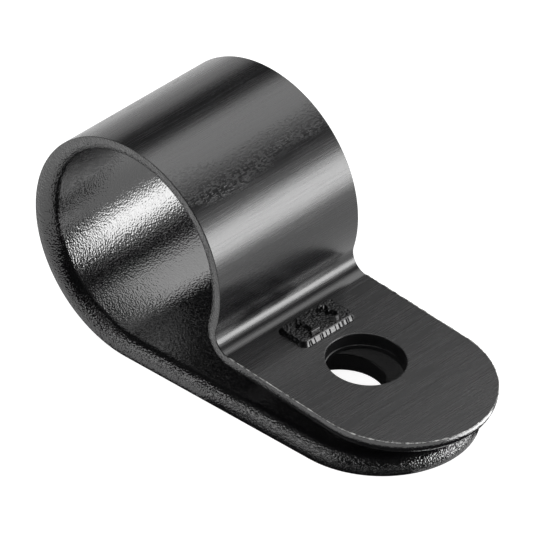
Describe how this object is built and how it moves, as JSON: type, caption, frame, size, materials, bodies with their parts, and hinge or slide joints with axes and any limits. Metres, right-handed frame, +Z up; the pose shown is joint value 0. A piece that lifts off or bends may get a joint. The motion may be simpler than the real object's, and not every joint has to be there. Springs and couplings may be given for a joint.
{
  "type": "p clip",
  "caption": "Black nylon P clip for a half inch cable or hose: a round loop with rounded inner edges that turns into two flat drilled legs.",
  "frame": {"origin": "centre of the lower leg's screw hole, on the face that goes against the panel", "axes": "+X from the loop towards the tips of the legs, +Y along the loop's axis, +Z up out of the panel"},
  "size_m": [0.0313, 0.0128, 0.0158],
  "materials": {
    "black_nylon": "satin outside with fine streaks along the loop's axis, fine spark grain on the inside faces, edges and lower leg"
  },
  "bodies": {
    "root": {"clip": "black_nylon"}
  },
  "joints": []
}
